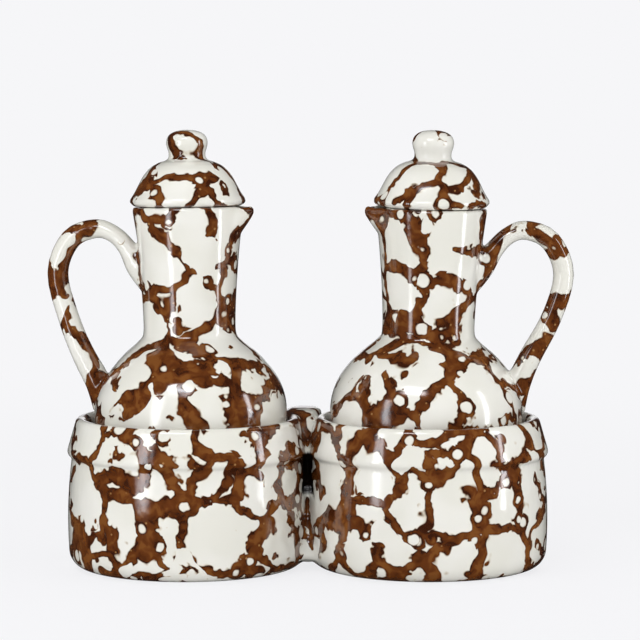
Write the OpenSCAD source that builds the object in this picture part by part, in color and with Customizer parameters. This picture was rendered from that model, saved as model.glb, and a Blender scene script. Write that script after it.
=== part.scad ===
// Oil and vinegar cruet: two lidded jugs that stand in one double cup.
// All five pieces are thrown ceramic under a splatter glaze.
// Sizes are millimetres, angles are degrees. X runs from jug to jug, Y to the back, Z up.

/* [Jug] */
// Outer radius of the belly where it is widest
belly_r = 48.2; // [41:0.1:57]
// Height of the widest part of the belly above the foot
belly_h = 72; // [61:1:85]
// Height of the round shoulder above the widest part
shoulder_h = 39.5; // [33:0.5:46]
// Outer radius of the flat foot
foot_r = 34; // [28:0.5:40]
// Height of the jug from foot to rim
jug_h = 174.6; // [165:0.1:205]
// Outer radius of the neck where it is narrowest
neck_r = 23; // [20:0.5:26]
// Outer radius of the flared mouth
mouth_r = 28; // [26.5:0.5:33]
// Thickness of the jug's wall
jug_wall = 4; // [3.2:0.1:4.8]
// Thickness of the jug's floor
jug_floor = 6; // [4:0.5:8]

/* [Spout] */
// Distance from the jug's axis to the tip of the spout
spout_reach = 33.6; // [31:0.1:38]
// Height of the pulled lip, from its root on the neck to the rim
spout_h = 15; // [12:0.5:20]
// Radius of the rounded tip
spout_tip_r = 3; // [2.5:0.1:3.6]

/* [Jug handle] */
// Distance from the jug's axis to the outside of the handle
handle_reach = 72.5; // [66:0.1:80]
// Thickness of the handle, seen from the side
handle_t = 10.6; // [8.8:0.1:12.6]
// Width of the handle, seen from its back
handle_w = 12.4; // [10.2:0.1:14.8]
// Depth of the top of the handle below the rim
handle_drop = 5.6; // [3:0.1:12]
// Height of the handle's upper root below the rim
handle_root_drop = 32; // [27:0.5:37]

/* [Lid] */
// Height of the lid from the rim to the top of its knob
lid_h = 38.2; // [34:0.1:46]
// Distance that the lid stands out past the mouth
lid_overhang = 0.4; // [0:0.1:1.5]
// Height of the dome below the knob
dome_h = 23; // [20:0.5:27]
// Radius of the knob
knob_r = 10.3; // [9.6:0.1:12.3]
// Radius of the waist under the knob
knob_waist_r = 9; // [7.5:0.1:9.4]
// Height of the ring that sits inside the mouth
flange_h = 8; // [6:0.5:10]
// Thickness of that ring
flange_t = 3; // [2.4:0.1:3.6]
// Clearance between that ring and the mouth
flange_gap = 0.6; // [0.3:0.1:1.2]

/* [Stand] */
// Height of each cup
cup_h = 75.3; // [63:0.1:78]
// Clearance between a jug's belly and the cup's lip
cup_gap = 2.6; // [2.4:0.1:5]
// Thickness of the lip
lip_t = 5.6; // [4.6:0.1:6.8]
// Height of the thick band below the lip
band_h = 19.5; // [16:0.5:23]
// Distance that the band flares out from its top to its bottom
band_flare = 4.1; // [3.4:0.1:4.9]
// Distance that the band stands out past the cup's side
band_step = 2.3; // [1.8:0.1:2.9]
// Distance that the cup's side swells out below the band
cup_swell = 2.1; // [1.6:0.1:2.3]
// Radius of the round edge at the foot of each cup
cup_edge_r = 9; // [7:0.5:11]
// Thickness of the cup's side
cup_wall = 6.4; // [5:0.1:7.6]
// Thickness of the cup's floor
cup_floor = 6; // [5:0.1:8]
// Depth of the hollow under each cup
cup_recess = 1.5; // [1:0.1:2]
// Depth to which the two cups are pressed together
cup_press = 1; // [0.8:0.1:1.4]
// Radius of the clay that fills the joint between the cups, at its foot
web_r = 22; // [18:0.5:26]
// Height of that clay
web_h = 40; // [33:1:46]

/* [Stand handle] */
// Width of the strap
strap_w = 18; // [15:0.5:21]
// Thickness of the strap
strap_t = 7.2; // [6:0.1:8.6]
// Height of the strap above the cups
strap_rise = 2; // [0:0.1:5]
// Distance that the strap reaches past the back of the cups
strap_out = 0.6; // [0:0.1:12]
// Distance that the strap sits to the left of the middle
strap_left = 2; // [0:0.5:3]

/* [Placement] */
// Distance that each jug stands in from the middle of its cup
jug_inset = 2.3; // [1.6:0.1:2.8]
// Outward lean of the left jug
left_lean = 0.7; // [0:0.1:1]
// Outward lean of the right jug
right_lean = 1.3; // [0:0.1:1.5]
// Backward tilt of the left jug
left_tilt = 1.5; // [0:0.1:1.7]
// Forward tilt of the right jug
right_tilt = 1; // [0:0.1:1.3]
// Turn of the left jug's handle to the back
left_turn = 9; // [0:1:15]
// Turn of the right jug's handle to the back
right_turn = 4; // [0:1:15]
// Distance that the left handle's lower half stands out
left_slack = 0; // [-4:0.1:2]
// Distance that the right handle's lower half stands out
right_slack = -3.4; // [-4:0.1:2]

/* [Hidden] */
$fn = 96;
glaze = [0.92, 0.91, 0.87];

// The cups follow from the belly that they hold.
lip_in_r = belly_r + cup_gap;
lip_out_r = lip_in_r + lip_t;
band_r = lip_out_r + band_flare;
band_z = cup_h - band_h;
band_edge_r = band_step + 0.3;
side_top_r = band_r - band_step;
side_r = side_top_r + cup_swell;
swell_z = 0.32 * cup_h;
hollow_r = side_top_r - cup_wall + cup_swell;
hollow_edge_r = cup_edge_r + 1;
foot_ring_w = 5;
cup_dx = band_r - cup_press / 2;
strap_back_y = band_r + strap_out;
centre_y = (band_r - strap_back_y) / 2;

// Heights and radii on the jug.
foot_edge = 3;
foot_cut = 2.2;
base_h = (belly_h - foot_edge) / sqrt(1 - pow(foot_r / belly_r, 2));
neck_z = belly_h + shoulder_h + foot_edge;
flare_power = 1.6;
shoulder_power = 5;
rim_edge = jug_wall * 0.35;
wall_step = 4;

// The handle's roots and turns.
root_top_z = jug_h - handle_root_drop;
crown_z = jug_h - handle_drop - handle_t / 2;
handle_x = handle_reach - handle_t / 2;
loop_w = handle_x - neck_r;

// The lid and its ring.
lid_r = mouth_r + lid_overhang;
lid_edge = 2.8;

// A cubic curve through four guide points, without its first point.
function curve(a, b, c, d, n) =
    [for (i = [1:n]) let (t = i / n, s = 1 - t)
        s * s * s * a + 3 * s * s * t * b + 3 * s * t * t * c + t * t * t * d];

// An arc of n steps about a centre.
function arc(centre, r, from, to, n) =
    [for (i = [0:n]) let (a = from + (to - from) * i / n)
        centre + r * [cos(a), sin(a)]];

// A smooth line through every point of a list.
function spline_at(a, b, c, d, t) =
    0.5 * (2 * b + (c - a) * t + (2 * a - 5 * b + 4 * c - d) * t * t
        + (3 * b - a - 3 * c + d) * t * t * t);
function spline(p, n) = let (last = len(p) - 1) concat(
    [for (i = [0:last - 1], j = [0:n - 1])
        spline_at(p[max(i - 1, 0)], p[i], p[i + 1], p[min(i + 2, last)], j / n)],
    [p[last]]);

// The jug's outline: an egg-shaped belly that runs into a flared neck.
function belly_at(z) = let (d = z - belly_h, half = d < 0 ? base_h : shoulder_h)
    belly_r * sqrt(max(0, 1 - pow(d / half, 2)));
function neck_at(z) = let (t = max(0, (z - neck_z) / (jug_h - neck_z)))
    neck_r + (mouth_r - neck_r) * pow(t, flare_power);
function neck_share(z) = min(1, max(0, (z - belly_h) / (0.75 * shoulder_h)));
function jug_at(z) = pow(
    pow(belly_at(z), shoulder_power) + pow(neck_at(z) * neck_share(z), shoulder_power),
    1 / shoulder_power);

// The same outline moved in by the wall's thickness, square to the surface.
function inside_at(z) = let (slope = jug_at(z + 0.5) - jug_at(z - 0.5), n = norm([1, slope]))
    [jug_at(z) - jug_wall / n, z + jug_wall * slope / n];
function mouth_in_r(z) = inside_at(z)[0];

// A rod or strap swept along a line in the XZ plane.
// Each point is [x, z, half thickness, half width]. A low power makes the section squarer.
module sweep(points, steps, sides, power) {
    line = spline(points, steps);
    last = len(line) - 1;
    function round_off(v) = sign(v) * pow(abs(v), power);
    function side_of(i) = let (
        a = line[max(i - 1, 0)],
        b = line[min(i + 1, last)],
        d = [b[0] - a[0], b[1] - a[1]])
        [-d[1], d[0]] / norm(d);
    rings = [for (i = [0:last], k = [0:sides - 1]) let (
        n = side_of(i),
        t = line[i][2] * round_off(cos(360 * k / sides)),
        w = line[i][3] * round_off(sin(360 * k / sides)))
        [line[i][0] + n[0] * t, w, line[i][1] + n[1] * t]];
    skin = [for (i = [0:last - 1], k = [0:sides - 1]) let (
        a = i * sides + k,
        b = i * sides + (k + 1) % sides)
        each [[a, b, b + sides], [a, b + sides, a + sides]]];
    first_cap = [for (k = [0:sides - 1]) sides - 1 - k];
    last_cap = [for (k = [0:sides - 1]) last * sides + k];
    polyhedron(points = rings, faces = concat(skin, [first_cap, last_cap]));
}

// One cup from outside, with its round foot, swollen side, band and lip.
module cup_outside() {
    edge_centre = [side_at(cup_edge_r) - cup_edge_r, cup_edge_r];
    ring_out = edge_centre[0];
    rotate_extrude() polygon(concat(
        [[0, cup_recess], [ring_out - foot_ring_w - cup_recess, cup_recess]],
        [[ring_out - foot_ring_w, 0]],
        arc(edge_centre, cup_edge_r, -90, -6, 7),
        [for (i = [1:9]) let (z = cup_edge_r + (band_z - cup_edge_r) * i / 9) [side_at(z), z]],
        arc([band_r - band_edge_r, band_z + band_edge_r], band_edge_r, -80, 12, 6),
        arc([lip_out_r - lip_t / 2, cup_h - lip_t / 2], lip_t / 2, 14, 90, 6),
        [[0, cup_h]]));
}
function side_at(z) = side_r - cup_swell * pow((z - swell_z) / (band_z - swell_z), 2);

// The space inside one cup.
module cup_hollow() {
    edge_centre = [hollow_r - hollow_edge_r, cup_floor + hollow_edge_r];
    neck_low = [hollow_r, band_z - lip_t];
    neck_high = [lip_in_r, cup_h - lip_t];
    rotate_extrude() polygon(concat(
        [[0, cup_floor]],
        arc(edge_centre, hollow_edge_r, -90, 0, 7),
        [neck_low],
        curve(neck_low, neck_low + [0, lip_t], neck_high - [0, lip_t], neck_high, 6),
        arc([lip_in_r + lip_t / 2, cup_h - lip_t / 2], lip_t / 2, 180, 90, 6),
        [[lip_in_r + lip_t / 2, cup_h + lip_t], [0, cup_h + lip_t]]));
}

// Clay pressed into the joint between the two cups.
module web() {
    slot_r = web_r / 4;
    foot_z = 0.7 * cup_edge_r;
    under_h = 0.4 * foot_z;
    translate([0, 0, foot_z - under_h]) cylinder(r1 = 0.6 * web_r, r2 = web_r, h = under_h);
    translate([0, 0, foot_z]) cylinder(r1 = web_r, r2 = slot_r, h = web_h - foot_z);
    translate([0, 0, foot_z]) cylinder(r = slot_r, h = band_z + band_edge_r - foot_z);
}

// The strap handle in the valley at the back, from the lip down to the web.
module strap() {
    top_z = cup_h + strap_rise - strap_t / 2;
    low_z = web_h * 0.45;
    drop = top_z - low_z;
    back_y = strap_back_y - strap_t / 2;
    t = strap_t / 2;
    w = strap_w / 2;
    translate([-strap_left, 0, 0]) rotate([0, 0, 90]) sweep([
        [-0.03 * band_r, top_z - 0.28 * drop, 0.8 * t, 0.25 * w],
        [0.05 * band_r, top_z - 0.13 * drop, t, 0.4 * w],
        [0.17 * band_r, top_z - 0.03 * drop, 1.05 * t, 0.54 * w],
        [0.37 * band_r, top_z, t, 0.9 * w],
        [0.62 * back_y, top_z - 0.02 * drop, t, w],
        [0.86 * back_y, top_z - 0.14 * drop, t, w],
        [back_y, top_z - 0.36 * drop, t, w],
        [0.98 * back_y, top_z - 0.62 * drop, t, w],
        [0.8 * back_y, top_z - 0.85 * drop, t, w],
        [0.55 * back_y, top_z - 0.97 * drop, 1.1 * t, 0.95 * w],
        [0.25 * back_y, low_z, 1.3 * t, 0.7 * w]], 3, 16, 0.65);
}

// The two cups, fused side by side, and their handle: one fired piece.
module stand() {
    color(glaze) translate([0, centre_y, 0]) difference() {
        union() {
            for (side = [-1, 1]) translate([side * cup_dx, 0, 0]) cup_outside();
            web();
            strap();
        }
        for (side = [-1, 1]) translate([side * cup_dx, 0, 0]) cup_hollow();
    }
}

// The jug's outer form with its foot run on below, to be cut level.
module jug_outside() {
    sections = round((jug_h - foot_edge) / wall_step);
    top = jug_h - rim_edge;
    rotate_extrude() polygon(concat(
        [[0, -foot_cut], [foot_r - foot_edge, -foot_cut], [foot_r - foot_edge / 2, 0]],
        [for (i = [0:sections]) let (z = foot_edge + (top - foot_edge) * i / sections)
            [jug_at(z), z]],
        [[mouth_r - 0.3 * rim_edge, jug_h - 0.3 * rim_edge], [mouth_r - rim_edge, jug_h]],
        [[0, jug_h]]));
}

// The space inside the jug.
module jug_hollow() {
    low = jug_floor + jug_wall / 2;
    sections = round((jug_h - low) / wall_step);
    top = jug_h - rim_edge;
    rim_in_r = mouth_in_r(top);
    first = inside_at(low);
    rotate_extrude() polygon(concat(
        [[0, jug_floor], [first[0] - jug_wall, jug_floor]],
        [for (i = [0:sections]) inside_at(low + (top - low) * i / sections)],
        [[rim_in_r + 0.3 * rim_edge, jug_h - 0.3 * rim_edge], [rim_in_r + rim_edge, jug_h]],
        [[rim_in_r + rim_edge, jug_h + jug_wall], [0, jug_h + jug_wall]]));
}

// The pulled lip, drawn in from the surface by a margin.
module spout_form(margin, top) {
    sink = 0.7;
    root_z = jug_h - spout_h + margin;
    hull($fn = 48) {
        translate([0, 0, root_z]) cylinder(r = jug_at(root_z) - margin - sink, h = 0.5);
        translate([0, 0, top - 2]) cylinder(r = mouth_r - margin - sink - 0.5, h = 1.6);
        translate([spout_reach - spout_tip_r, 0, top - spout_tip_r])
            sphere(r = spout_tip_r - margin * 0.42, $fn = 24);
    }
}

// The loop handle, from the neck out and down to the belly.
module jug_handle(slack) {
    t = handle_t / 2;
    w = handle_w / 2;
    belly_x = belly_r - jug_wall / 2;
    low_z = belly_h + 0.04 * jug_h;
    fall = crown_z - low_z;
    rise = crown_z - root_top_z;
    sweep([
        [-neck_r + 2 * jug_wall, root_top_z - 1.6 * t, 1.6 * t, 1.2 * w],
        [-neck_r - 0.05 * loop_w, root_top_z + 0.1 * rise, 1.3 * t, 1.2 * w],
        [-neck_r - 0.2 * loop_w, root_top_z + 0.52 * rise, 0.92 * t, 1.05 * w],
        [-neck_r - 0.35 * loop_w, root_top_z + 0.85 * rise, 0.84 * t, w],
        [-neck_r - 0.55 * loop_w, crown_z, 0.92 * t, w],
        [-neck_r - 0.84 * loop_w, crown_z - 0.06 * fall, t, w],
        [-handle_x, crown_z - 0.26 * fall, t, w],
        [-handle_x + 0.12 * loop_w - 0.4 * slack, crown_z - 0.53 * fall, 1.02 * t, w],
        [-belly_x - 0.19 * loop_w - slack, crown_z - 0.76 * fall, 1.08 * t, 1.05 * w],
        [-belly_x - 0.04 * loop_w - 0.5 * slack, crown_z - 0.92 * fall, 1.12 * t, 1.1 * w],
        [-belly_x, low_z - 1.2 * t, 0.7 * t, 0.8 * w]], 4, 16, 1);
}

// A jug that stands on Z = 0, with its spout along +X.
module jug(lean, tilt, turn, slack) {
    cut_w = 3 * foot_r;
    difference() {
        rotate([-tilt, -lean, 0]) rotate([0, 0, -turn]) difference() {
            union() {
                jug_outside();
                spout_form(0, jug_h - 0.3);
                jug_handle(slack);
            }
            jug_hollow();
            spout_form(jug_wall, jug_h + jug_wall);
            translate([0, 0, -foot_cut]) cylinder(r = foot_r - foot_edge - foot_ring_w, h = 2 * foot_cut);
        }
        translate([-cut_w / 2, -cut_w / 2, -cut_w]) cube(cut_w);
    }
}

// A lid that rests on Z = 0, with its ring below.
module lid() {
    ring_r = mouth_in_r(jug_h - flange_h) - flange_gap;
    ring_in_r = ring_r - flange_t;
    lip_top = [lid_r - 0.3 * lid_edge, 1.7 * lid_edge];
    dome_top = [knob_r, dome_h];
    waist = [knob_waist_r, dome_h + 3];
    knob_side = [knob_r, lid_h - 6.6];
    knob_top = [0, lid_h];
    difference() {
        rotate_extrude() polygon(concat(
            [[0, -flange_h], [ring_r - 1, -flange_h], [ring_r, 1 - flange_h], [ring_r, 0]],
            arc([lid_r - lid_edge, lid_edge], lid_edge, -90, 25, 7),
            [lip_top],
            curve(lip_top, lip_top + [-4.4, 0.25 * dome_h],
                [0.79 * lid_r, 0.9 * dome_h], dome_top, 9),
            curve(dome_top, [knob_waist_r + 0.2, dome_h + 0.4],
                [knob_waist_r, dome_h + 1.5], waist, 4),
            curve(waist, waist + [0, 2], knob_side - [0, 2], knob_side, 4),
            curve(knob_side, knob_side + [0, 4.4], knob_top + [6.5, 0], knob_top, 7)));
        rotate_extrude() polygon(concat(
            [[0, -flange_h - 1], [ring_in_r, -flange_h - 1], [ring_in_r, lid_edge]],
            curve([ring_in_r, lid_edge], [ring_in_r, 0.5 * dome_h],
                [0.6 * ring_in_r, dome_h - flange_t - 1], [0, dome_h - flange_t - 1], 8)));
    }
}

// The place of each jug in its cup. The right one mirrors the left.
module in_cup(side) {
    translate([side * (cup_dx - jug_inset), centre_y - foot_shift(side), cup_floor])
        mirror([side > 0 ? 1 : 0, 0, 0]) children();
}
// A tilted jug's foot is set against the tilt, so that its belly stays clear of the lip.
function foot_shift(side) = 0.8 * belly_h * sin(side < 0 ? left_tilt : -right_tilt);

module jug_lid(lean, tilt, turn) {
    rotate([-tilt, -lean, 0]) rotate([0, 0, -turn]) translate([0, 0, jug_h]) lid();
}

module left_jug() { color(glaze) in_cup(-1) jug(left_lean, left_tilt, left_turn, left_slack); }
module right_jug() { color(glaze) in_cup(1) jug(right_lean, -right_tilt, right_turn, right_slack); }
module left_lid() { color(glaze) in_cup(-1) jug_lid(left_lean, left_tilt, left_turn); }
module right_lid() { color(glaze) in_cup(1) jug_lid(right_lean, -right_tilt, right_turn); }

stand();
left_jug();
right_jug();
left_lid();
right_lid();
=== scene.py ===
"""Looks of a ceramic oil and vinegar cruet: soft glazed forms under cream and brown splatter glaze."""
import math

import bmesh
import bpy
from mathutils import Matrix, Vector


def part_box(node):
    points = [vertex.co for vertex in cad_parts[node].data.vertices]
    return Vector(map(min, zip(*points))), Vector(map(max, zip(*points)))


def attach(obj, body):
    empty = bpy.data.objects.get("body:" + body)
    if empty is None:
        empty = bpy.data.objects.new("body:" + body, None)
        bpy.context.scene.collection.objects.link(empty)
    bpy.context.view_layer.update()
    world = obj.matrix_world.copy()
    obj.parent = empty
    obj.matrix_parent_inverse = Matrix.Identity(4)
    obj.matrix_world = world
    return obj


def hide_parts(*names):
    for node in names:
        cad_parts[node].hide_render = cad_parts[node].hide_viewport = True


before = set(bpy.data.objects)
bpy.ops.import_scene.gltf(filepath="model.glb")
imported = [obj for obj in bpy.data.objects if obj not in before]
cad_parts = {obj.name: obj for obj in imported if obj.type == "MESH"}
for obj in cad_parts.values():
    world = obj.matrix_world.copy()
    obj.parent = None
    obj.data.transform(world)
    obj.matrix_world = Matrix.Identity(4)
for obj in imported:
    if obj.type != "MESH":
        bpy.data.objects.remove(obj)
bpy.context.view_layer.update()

MM = 0.001
BODY = "root"


# Values for the pieces

# CAD points closer together than this, in millimetres, become one.
WELD = 0.005
# How finely each piece is remeshed, in millimetres, how many rounds soften its edges, and the share of
# its faces that is kept then.
REMESH = {
    "stand": (1.0, 3, 0.5),
    "left_jug": (1.0, 5, 0.7),
    "right_jug": (1.0, 5, 0.7),
    "left_lid": (0.7, 5, 1.0),
    "right_lid": (0.7, 5, 1.0),
}
# How far each round of smoothing moves a point towards its neighbours.
SMOOTHING = 0.5
# The height of the stand's foot that is moved back down to the table, in millimetres.
FOOT_REACH = 6
# The front of the joint between the cups: half the width and the height of what is smoothed, in
# millimetres, and how many times.
JOINT_HALF = 5.5
JOINT_TOP = 57
JOINT_ROUNDS = 12
# Small hand-made departures from the regular CAD forms, in millimetres. Each one pulls the surface near
# an X and Z by a shift in X and Z, and fades out over a reach.
NUDGES = {
    "left_jug": [((-101, 101), (1.1, 0.0), 14), ((-95, 161), (1.0, 0.3), 11), ((-26, 180), (0.0, 0.6), 6)],
    "right_jug": [((116, 128), (0.9, 0.0), 16), ((28, 180), (0.0, 0.6), 6)],
}
# The share by which a lid is widened, and the height above the mouth, in millimetres, over which that
# sets in.
LID_SWELL = 0.018
LID_SWELL_RISE = 1
# Where in the pattern each piece lies, how large its cream patches are and how much its bands widen.
PATTERNS = {
    "stand": ((134.0, -279.0, 197.0), 27, 0.8),
    "left_jug": ((332.0, -48.0, -306.0), 27, 1.3),
    "right_jug": ((-167.0, 40.0, 217.0), 27, 1.3),
    "left_lid": ((-335.0, 98.0, -213.0), 23, 0.3),
    "right_lid": ((217.0, 181.0, 65.0), 23, 0.3),
}


# Colours and brightness

def linear(red, green, blue):
    """A colour given from 0 to 255, as the shader takes it."""
    def channel(value):
        share = value / 255
        return share / 12.92 if share <= 0.04045 else ((share + 0.055) / 1.055) ** 2.4
    return (channel(red), channel(green), channel(blue), 1.0)


WHITE = (1, 1, 1, 1)
BACKGROUND = linear(246, 246, 248)
DAYLIGHT = linear(248, 250, 255)
CREAM = linear(240, 238, 229)
CREAM_SHADE = linear(234, 232, 221)
CREAM_EDGE = linear(210, 197, 173)
BROWN_THIN = linear(124, 74, 32)
BROWN = linear(99, 52, 19)
BROWN_DARK = linear(60, 26, 9)
# Painted shade: the near black that stands in for the shadow deep in the joint between the cups.
JOINT_SHADE_BLACK = linear(14, 6, 4)
SPECK = linear(176, 132, 80)
CREAM_ROUGHNESS = 0.16
BROWN_ROUGHNESS = 0.12
# How bright the room is that the glaze mirrors.
ROOM = 0.015


# Pieces

def soft_copy(node):
    """A copy of a CAD node whose edges and roots are rounded, as under a thick glaze."""
    voxel, rounds, kept = REMESH[node]
    mesh = bpy.data.meshes.new(node + "_glazed")
    cad = bmesh.new()
    cad.from_mesh(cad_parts[node].data)
    bmesh.ops.remove_doubles(cad, verts=cad.verts, dist=WELD * MM)
    cad.to_mesh(mesh)
    cad.free()
    piece = bpy.data.objects.new(node + "_glazed", mesh)
    bpy.context.scene.collection.objects.link(piece)
    remesh = piece.modifiers.new("even_faces", "REMESH")
    remesh.mode = "VOXEL"
    remesh.voxel_size = voxel * MM
    soften = piece.modifiers.new("soft_edges", "SMOOTH")
    soften.factor = SMOOTHING
    soften.iterations = rounds
    fewer = piece.modifiers.new("fewer_faces", "DECIMATE")
    fewer.ratio = kept
    graph = bpy.context.evaluated_depsgraph_get()
    piece.data = bpy.data.meshes.new_from_object(piece.evaluated_get(graph))
    piece.modifiers.clear()
    piece.data.polygons.foreach_set("use_smooth", [True] * len(piece.data.polygons))
    return piece


def nudge(piece, node):
    """Bends handles and spouts a little, as listed for the node."""
    for (x, z), (shift_x, shift_z), reach in NUDGES.get(node, []):
        for v in piece.data.vertices:
            away = math.hypot(v.co.x / MM - x, v.co.z / MM - z) / reach
            share = math.exp(-away * away) * MM
            v.co.x += shift_x * share
            v.co.z += shift_z * share


def smooth_joint(piece):
    """Smooths the front of the pressed-in clay where the two cups meet."""
    mesh = bmesh.new()
    mesh.from_mesh(piece.data)
    near = [v for v in mesh.verts
            if abs(v.co.x) < JOINT_HALF * MM and v.co.y < 0 and v.co.z < JOINT_TOP * MM]
    for _ in range(JOINT_ROUNDS):
        bmesh.ops.smooth_vert(mesh, verts=near, factor=SMOOTHING,
                              use_axis_x=True, use_axis_y=True, use_axis_z=False)
    mesh.to_mesh(piece.data)
    mesh.free()


def seat(piece, node):
    """Moves the foot of a softened piece back down to where the CAD node rests."""
    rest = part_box(node)[0].z
    lowest = min(v.co.z for v in piece.data.vertices)
    for v in piece.data.vertices:
        share = max(0.0, 1 - (v.co.z - lowest) / (FOOT_REACH * MM))
        v.co.z -= (lowest - rest) * share


def swell(piece, node, mouth_z):
    """Widens the part of a lid that is above the mouth it sits on."""
    low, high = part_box(node)
    middle = (Vector(low) + Vector(high)) / 2
    for v in piece.data.vertices:
        share = LID_SWELL * min(1.0, max(0.0, (v.co.z - mouth_z) / (LID_SWELL_RISE * MM)))
        v.co.x += (v.co.x - middle.x) * share
        v.co.y += (v.co.y - middle.y) * share


# Shader nodes

class Graph:
    """Adds shader nodes to a material or world and wires them."""

    def __init__(self, tree):
        self.tree = tree
        tree.nodes.clear()

    def add(self, kind, inputs=None, **settings):
        node = self.tree.nodes.new(kind)
        for name, value in settings.items():
            setattr(node, name, value)
        for key, value in (inputs or {}).items():
            self.put(value, node.inputs[key])
        return node

    def put(self, value, socket):
        if isinstance(value, bpy.types.NodeSocket):
            self.tree.links.new(value, socket)
        else:
            socket.default_value = value

    def math(self, operation, *values):
        node = self.add("ShaderNodeMath", dict(enumerate(values)), operation=operation)
        return node.outputs[0]

    def vector(self, operation, *values):
        node = self.add("ShaderNodeVectorMath", dict(enumerate(values)), operation=operation)
        return node.outputs[0]

    def scaled(self, vector, factor):
        node = self.add("ShaderNodeVectorMath", {0: vector, "Scale": factor}, operation="SCALE")
        return node.outputs[0]

    def ramp(self, value, low, high, to_low=0.0, to_high=1.0):
        """Smoothly maps low..high onto to_low..to_high."""
        inputs = {"Value": value, "From Min": low, "From Max": high, "To Min": to_low, "To Max": to_high}
        node = self.add("ShaderNodeMapRange", inputs, interpolation_type="SMOOTHSTEP")
        return node.outputs["Result"]

    def noise(self, place, size, detail, colour=False):
        """Cloudy noise whose lumps are about size across."""
        inputs = {"Vector": place, "Scale": 1 / size, "Detail": detail, "Roughness": 0.5}
        node = self.add("ShaderNodeTexNoise", inputs, noise_dimensions="3D")
        return node.outputs["Color" if colour else "Fac"]

    def shift(self, place, size, reach, detail):
        """A random vector, up to about half of reach long, that varies over lumps of that size."""
        centred = self.vector("SUBTRACT", self.noise(place, size, detail, colour=True), (0.5, 0.5, 0.5))
        return self.scaled(centred, reach)

    def cells(self, place, size, feature="F1"):
        """Voronoi cells about size across. Gives the distance in the units of place, and a random value."""
        node = self.add("ShaderNodeTexVoronoi", {"Vector": place, "Scale": 1 / size},
                        voronoi_dimensions="3D", feature=feature)
        distance = self.math("MULTIPLY", node.outputs["Distance"], size)
        return distance, node.outputs.get("Color")

    def blend(self, share, first, second):
        """Mixes two colours. In this mode they are the seventh and eighth inputs, and the third output."""
        node = self.add("ShaderNodeMix", data_type="RGBA")
        self.put(share, node.inputs[0])
        self.put(first, node.inputs[6])
        self.put(second, node.inputs[7])
        return node.outputs[2]

    def show(self, shader, kind="ShaderNodeOutputMaterial"):
        """Wires a shader to the output of the material or world."""
        self.tree.links.new(shader.outputs[0], self.add(kind).inputs["Surface"])


# Glaze. All lengths in its pattern are millimetres.

def splatter_mask(graph, place, cell, band):
    """How deep a point lies inside the brown. Below zero it is cream."""
    blob_least = -4.0
    blob_range = 8.0
    hole_least = -1.6
    hole_range = 5.0
    ring_width = 2.2

    # Shifts of three sizes bend the pattern. The finest makes some of its edges ragged.
    slow = graph.shift(place, size=0.85 * cell, reach=0.78 * cell, detail=0.0)
    middle = graph.shift(place, size=6.0, reach=5.2, detail=0.0)
    fine = graph.shift(place, size=2.4, reach=3.0, detail=0.0)
    where_ragged = graph.noise(place, size=15, detail=0.0)
    ragged = graph.ramp(where_ragged, low=0.38, high=0.6, to_low=0.2, to_high=1.0)
    rough = graph.vector("ADD", middle, graph.scaled(fine, ragged))
    warped = graph.vector("ADD", graph.vector("ADD", place, slow), rough)

    # Brown bands run between large cells. They are left out where the spread is low. Where it is high
    # they widen, and the cream patches shrink.
    spread = graph.noise(place, size=21, detail=1.0)
    there = graph.ramp(spread, low=0.33, high=0.38, to_low=-3.0, to_high=2.2)
    width = graph.math("ADD", there, graph.ramp(spread, low=0.4, high=0.7, to_low=0.0, to_high=band))
    edge, _ = graph.cells(warped, size=cell, feature="DISTANCE_TO_EDGE")
    bands = graph.math("SUBTRACT", width, edge)
    near, _ = graph.cells(warped, size=cell)
    patch_r = graph.ramp(spread, low=0.5, high=0.8, to_low=0.85 * cell, to_high=0.58 * cell)
    patches = graph.math("SUBTRACT", near, patch_r)

    # Loose blobs, some with a cream hole.
    lumpy = graph.vector("ADD", place, rough)
    near, tint = graph.cells(lumpy, size=15)
    pick = graph.add("ShaderNodeSeparateColor", {0: tint})
    blob_r = graph.math("MULTIPLY_ADD", pick.outputs[0], blob_range, blob_least)
    blobs = graph.math("SUBTRACT", blob_r, near)
    hole_r = graph.math("MINIMUM", graph.math("MULTIPLY_ADD", pick.outputs[1], hole_range, hole_least),
                        graph.math("SUBTRACT", blob_r, ring_width))
    hole = graph.math("SUBTRACT", near, hole_r)

    # Round cream islands in some cells, each in a brown ring that is left out far from the bands.
    soft = graph.vector("ADD", place, graph.scaled(rough, 0.4))
    near, tint = graph.cells(soft, size=11.0)
    pick = graph.add("ShaderNodeSeparateColor", {0: tint})
    island_there = graph.ramp(pick.outputs[0], low=0.4, high=0.45, to_low=-2.5, to_high=1.7)
    island_more = graph.ramp(pick.outputs[0], low=0.45, high=1.0, to_low=0.0, to_high=1.5)
    island = graph.math("SUBTRACT", near, graph.math("ADD", island_there, island_more))
    fade = graph.math("MINIMUM", graph.math("MULTIPLY_ADD", bands, 1.6, 2.4), 0.0)
    ring = graph.math("ADD", graph.math("SUBTRACT", ring_width, island), fade)

    brown = graph.math("MAXIMUM", graph.math("MAXIMUM", bands, patches), blobs)
    brown = graph.math("MAXIMUM", graph.math("MINIMUM", brown, hole), ring)
    return graph.math("MINIMUM", brown, island)


def painted_joint_shade(graph, where):
    """Painted shade: the narrow joint between the two cups, under their bands, is painted almost black, as
    the shadow in that deep crevice.
    """
    lumpy = graph.vector("ADD", where, graph.shift(where, size=7.0, reach=5.0, detail=1.0))
    at = graph.add("ShaderNodeSeparateXYZ", {0: lumpy}).outputs
    across = graph.ramp(graph.math("ABSOLUTE", at["X"]), low=2.6, high=3.4, to_low=1.0, to_high=0.0)
    bottom = graph.ramp(at["Z"], low=36, high=39)
    top = graph.ramp(at["Z"], low=57, high=59, to_low=1.0, to_high=0.0)
    return graph.math("MULTIPLY", across, graph.math("MULTIPLY", bottom, top))


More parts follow.
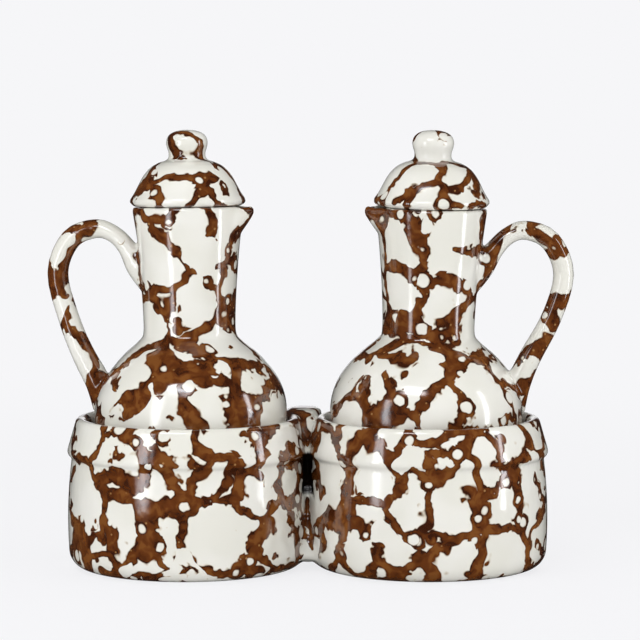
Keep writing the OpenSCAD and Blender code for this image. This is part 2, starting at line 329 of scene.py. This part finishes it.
def splatter_glaze(name, offset, cell, band, joint_shaded):
    """Glossy cream glaze with brown splatter. Each piece takes its pattern from another place. On the
    stand, painted shade darkens the joint between the cups.
    """
    ripple_height = 0.5
    peel_height = 0.02
    step_height = 0.03
    material = bpy.data.materials.new(name)
    material.use_nodes = True
    graph = Graph(material.node_tree)
    where = graph.scaled(graph.add("ShaderNodeTexCoord").outputs["Object"], 1 / MM)
    place = graph.vector("ADD", where, offset)
    depth = splatter_mask(graph, place, cell, band)
    brown = graph.ramp(depth, low=-0.22, high=0.22)

    # The brown is darkest in streaky clouds and along its edges, and has pale specks.
    streaks = graph.vector("ADD", place, graph.shift(place, size=9.0, reach=12.0, detail=1.0))
    cloud = graph.noise(streaks, size=7.0, detail=2.0)
    thick = graph.math("ADD", graph.ramp(depth, low=0.1, high=1.3, to_low=0.14, to_high=0.0), cloud)
    tone = graph.blend(graph.ramp(thick, low=0.36, high=0.52), BROWN_THIN, BROWN)
    tone = graph.blend(graph.ramp(thick, low=0.5, high=0.72), tone, BROWN_DARK)
    near, _ = graph.cells(place, size=6.0)
    tone = graph.blend(graph.ramp(near, low=0.35, high=0.75, to_low=0.75, to_high=0.0), tone, SPECK)

    # The cream drifts a little in tone and is stained next to the brown.
    drift = graph.noise(place, size=23, detail=1.0)
    cream = graph.blend(graph.ramp(drift, low=0.35, high=0.65), CREAM, CREAM_SHADE)
    cream = graph.blend(graph.ramp(depth, low=-0.6, high=0.1), cream, CREAM_EDGE)
    colour = graph.blend(brown, cream, tone)
    # Painted shade: the deep joint between the cups is painted almost black.
    if joint_shaded:
        colour = graph.blend(painted_joint_shade(graph, where), colour, JOINT_SHADE_BLACK)

    # The surface has a slow ripple and a fine peel, and the brown stands a little higher.
    ripple = graph.math("MULTIPLY", graph.noise(place, size=21, detail=1.0), ripple_height)
    peel = graph.math("MULTIPLY", graph.noise(place, size=2.6, detail=2.0), peel_height)
    step = graph.math("MULTIPLY", graph.ramp(depth, low=-0.6, high=0.8), step_height)
    height = graph.math("ADD", graph.math("ADD", ripple, peel), step)
    bump = graph.add("ShaderNodeBump", {"Height": height, "Distance": MM, "Strength": 1.0})

    glaze = graph.add("ShaderNodeBsdfPrincipled", {
        "Base Color": colour,
        "Roughness": graph.ramp(brown, low=0.0, high=1.0, to_low=CREAM_ROUGHNESS, to_high=BROWN_ROUGHNESS),
        "Normal": bump.outputs[0],
        "Coat Normal": bump.outputs[0],
    })
    glaze.inputs["IOR"].default_value = 1.55
    glaze.inputs["Coat Weight"].default_value = 0.9
    glaze.inputs["Coat Roughness"].default_value = 0.06
    graph.show(glaze)
    return material


# Studio. Its lengths are metres.

def towards(azimuth, elevation):
    """A direction from the object. Azimuth 0 points at the camera's side and 90 to the right."""
    a = math.radians(azimuth)
    e = math.radians(elevation)
    return Vector((math.sin(a) * math.cos(e), -math.cos(a) * math.cos(e), math.sin(e)))


def soft_light(name, azimuth, elevation, distance, width, height, feather, strength):
    """A soft box with feathered edges that faces the middle of the object and isn't seen itself."""
    half = 0.5
    middle = Vector((0, 0, 0.1))
    mesh = bpy.data.meshes.new(name)
    panel = bmesh.new()
    bmesh.ops.create_grid(panel, x_segments=1, y_segments=1, size=half)
    panel.to_mesh(mesh)
    panel.free()
    light = bpy.data.objects.new(name, mesh)
    light.location = middle + towards(azimuth, elevation) * distance
    light.rotation_euler = (light.location - middle).to_track_quat("Z", "Y").to_euler()
    light.scale = (width, height, 1)
    light.visible_camera = False
    light.visible_shadow = False
    bpy.context.scene.collection.objects.link(light)
    material = bpy.data.materials.new(name)
    material.use_nodes = True
    graph = Graph(material.node_tree)
    across = graph.add("ShaderNodeSeparateXYZ", {0: graph.add("ShaderNodeTexCoord").outputs["Object"]})
    glow = strength
    for side, size in ((0, width), (1, height)):
        off = graph.math("ABSOLUTE", across.outputs[side])
        dimmed = graph.ramp(off, low=half - feather / size, high=half, to_low=1.0, to_high=0.0)
        glow = graph.math("MULTIPLY", glow, dimmed)
    graph.show(graph.add("ShaderNodeEmission", {"Color": DAYLIGHT, "Strength": glow}))
    light.data.materials.append(material)


def studio_world(fill_front, fill_back):
    """A soft fill light and a pale backdrop. Apart from that backdrop the glaze mirrors a dim room."""
    world = bpy.data.worlds.new("studio")
    world.use_nodes = True
    bpy.context.scene.world = world
    graph = Graph(world.node_tree)
    direction = graph.add("ShaderNodeTexCoord").outputs["Generated"]
    back = graph.add("ShaderNodeSeparateXYZ", {0: direction}).outputs["Y"]
    path = graph.add("ShaderNodeLightPath").outputs
    fill = graph.ramp(back, low=-1.0, high=0.6, to_low=fill_front, to_high=fill_back)
    light = graph.add("ShaderNodeBackground", {"Color": WHITE, "Strength": fill})
    dim = graph.add("ShaderNodeBackground", {"Color": BACKGROUND, "Strength": ROOM})
    pale = graph.add("ShaderNodeBackground", {"Color": BACKGROUND, "Strength": 1.0})
    behind = graph.ramp(back, low=0.97, high=0.995)
    mirrored = graph.add("ShaderNodeMixShader", {0: behind, 1: dim.outputs[0], 2: pale.outputs[0]})
    both = graph.add("ShaderNodeMixShader",
                     {0: path["Is Glossy Ray"], 1: light.outputs[0], 2: mirrored.outputs[0]})
    seen = graph.math("MAXIMUM", path["Is Camera Ray"], path["Is Transmission Ray"])
    both = graph.add("ShaderNodeMixShader", {0: seen, 1: both.outputs[0], 2: pale.outputs[0]})
    graph.show(both, "ShaderNodeOutputWorld")


def studio_floor(radius, fade_from, fade_to, plain_near):
    """A pale round floor. It takes part of the shadow near the object and is plain further away."""
    mesh = bpy.data.meshes.new("floor")
    disc = bmesh.new()
    bmesh.ops.create_circle(disc, cap_ends=True, segments=96, radius=radius)
    disc.to_mesh(mesh)
    disc.free()
    floor = bpy.data.objects.new("floor", mesh)
    bpy.context.scene.collection.objects.link(floor)
    material = bpy.data.materials.new("pale_floor")
    material.use_nodes = True
    graph = Graph(material.node_tree)
    where = graph.add("ShaderNodeTexCoord").outputs["Object"]
    away = graph.add("ShaderNodeVectorMath", {0: where}, operation="LENGTH").outputs["Value"]
    plain = graph.ramp(away, low=fade_from, high=fade_to, to_low=plain_near, to_high=1.0)
    diffuse = graph.add("ShaderNodeBsdfDiffuse", {"Color": BACKGROUND})
    glow = graph.add("ShaderNodeEmission", {"Color": BACKGROUND, "Strength": 1.0})
    dim = graph.add("ShaderNodeEmission", {"Color": BACKGROUND, "Strength": ROOM})
    path = graph.add("ShaderNodeLightPath").outputs
    share = graph.math("MULTIPLY", plain, path["Is Camera Ray"])
    both = graph.add("ShaderNodeMixShader", {0: share, 1: diffuse.outputs[0], 2: glow.outputs[0]})
    both = graph.add("ShaderNodeMixShader",
                     {0: path["Is Glossy Ray"], 1: both.outputs[0], 2: dim.outputs[0]})
    graph.show(both)
    floor.data.materials.append(material)


def photo_camera():
    """The photograph's view: from the front, looking slightly down. Its lengths are millimetres."""
    middle_x = 6.15
    distance = 1600
    eye_z = 267
    aim_z = 123.7
    eye = Vector((middle_x, -distance, eye_z)) * MM
    aim = Vector((middle_x, 0, aim_z)) * MM
    pixels_per_mm = 2
    image_pixels = 640
    data = bpy.data.cameras.new("camera")
    data.sensor_width = 36
    data.lens = data.sensor_width * pixels_per_mm * (aim - eye).length / MM / image_pixels
    camera = bpy.data.objects.new("camera", data)
    camera.location = eye
    camera.rotation_euler = (aim - eye).to_track_quat("-Z", "Y").to_euler()
    bpy.context.scene.collection.objects.link(camera)
    bpy.context.scene.camera = camera


# Build

photo_camera()
bpy.context.scene.view_settings.view_transform = "Standard"
studio_world(fill_front=0.95, fill_back=0.68)
studio_floor(radius=3.0, fade_from=0.25, fade_to=0.9, plain_near=0.86)
soft_light("left_strip", azimuth=-44, elevation=9, distance=0.55,
           width=0.14, height=0.44, feather=0.06, strength=4.9)
soft_light("right_strip", azimuth=74, elevation=9, distance=0.55,
           width=0.09, height=0.44, feather=0.035, strength=7.2)
soft_light("top_front", azimuth=-18, elevation=44, distance=1.3,
           width=0.72, height=0.4, feather=0.17, strength=9.6)

for node, (offset, cell, band) in PATTERNS.items():
    piece = soft_copy(node)
    nudge(piece, node)
    if node == "stand":
        smooth_joint(piece)
        seat(piece, node)
    if node.endswith("lid"):
        swell(piece, node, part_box(node.replace("lid", "jug"))[1].z)
    piece.data.materials.clear()
    # Only the stand gets the painted shade in the joint between its cups.
    piece.data.materials.append(splatter_glaze(node + "_splatter", offset, cell, band, node == "stand"))
    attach(piece, BODY)
    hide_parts(node)
